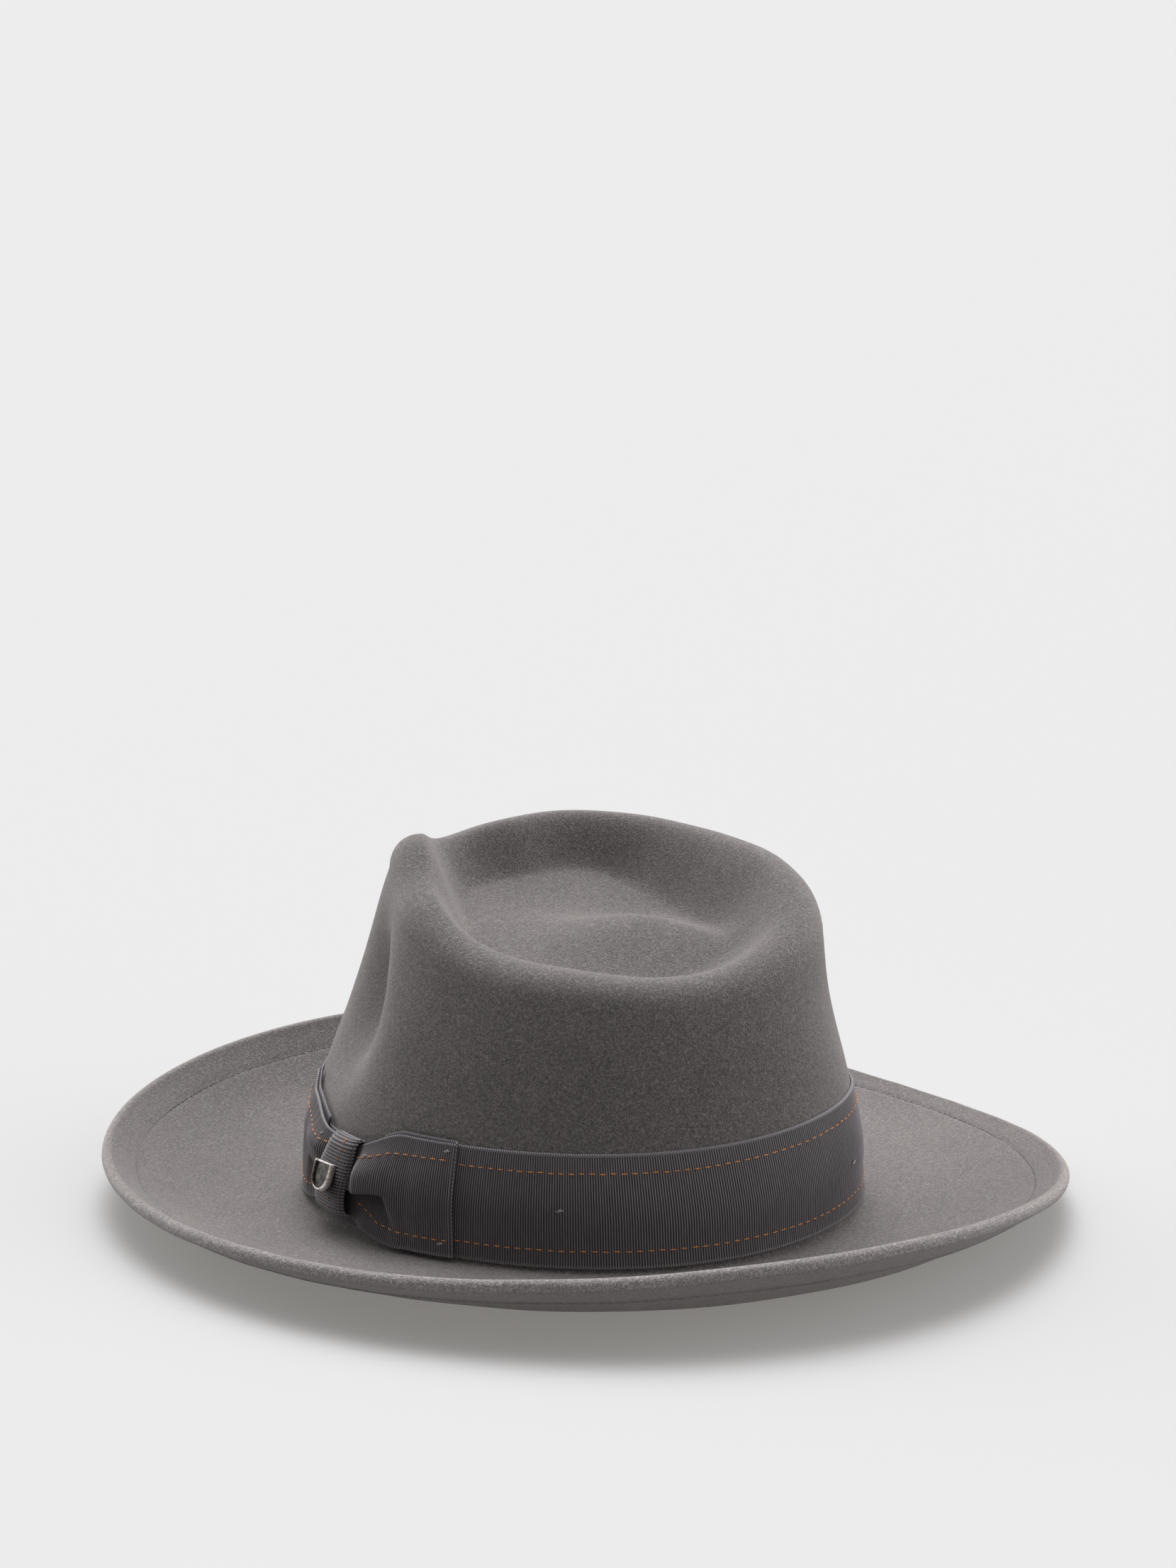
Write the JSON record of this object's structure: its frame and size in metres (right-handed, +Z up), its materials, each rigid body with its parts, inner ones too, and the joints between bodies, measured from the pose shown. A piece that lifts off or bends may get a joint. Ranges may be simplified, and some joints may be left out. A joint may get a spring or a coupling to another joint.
{
  "type": "fedora hat",
  "caption": "Wide-brim felt fedora with a pinched teardrop crown, turned-up brim edge, ribbon hatband with a flat side bow and a small metal badge, leather sweatband and satin lining.",
  "frame": {"origin": "on the table under the hat, at the bottom centre of its bounding box, as it stands on its brim", "axes": "+Z up, the front of the hat towards -Y, the wearer's left and the bow towards +X"},
  "size_m": [0.3122, 0.3523, 0.1292],
  "materials": {
    "felt": "short-napped grey wool felt",
    "grosgrain": "ribbed charcoal ribbon with woven edges",
    "dark_thread": "dark grey sewing thread",
    "grey_thread": "grey sewing thread",
    "orange_thread": "burnt-orange sewing thread",
    "badge_metal": "antiqued silver-coloured metal",
    "badge_plate": "satin grey enamel, no lettering",
    "leather": "fine-grained dark sweatband leather",
    "reed_plastic": "flexible off-white reed",
    "satin_ribbon": "narrow dark satin ribbon",
    "label_cloth": "plain woven tape, no lettering",
    "satin_lining": "grey satin"
  },
  "bodies": {
    "root": {"felt_body": "felt", "welt_stitching": "dark_thread", "hatband": "grosgrain", "hatband_stitch_upper": "orange_thread", "hatband_stitch_lower": "orange_thread", "hatband_tacks": "grey_thread", "bow_front_half": "grosgrain", "bow_rear_half": "grosgrain", "bow_knot": "grosgrain", "bow_tacks": "grey_thread", "badge_frame": "badge_metal", "badge_plate": "badge_plate", "badge_prongs": "badge_metal", "sweatband": "leather", "sweatband_reed": "reed_plastic", "sweatband_stitching": "grey_thread", "sweatband_bow": "satin_ribbon", "size_label": "label_cloth", "lining_side": "satin_lining", "lining_tip": "satin_lining", "lining_seam": "satin_ribbon"}
  },
  "joints": []
}
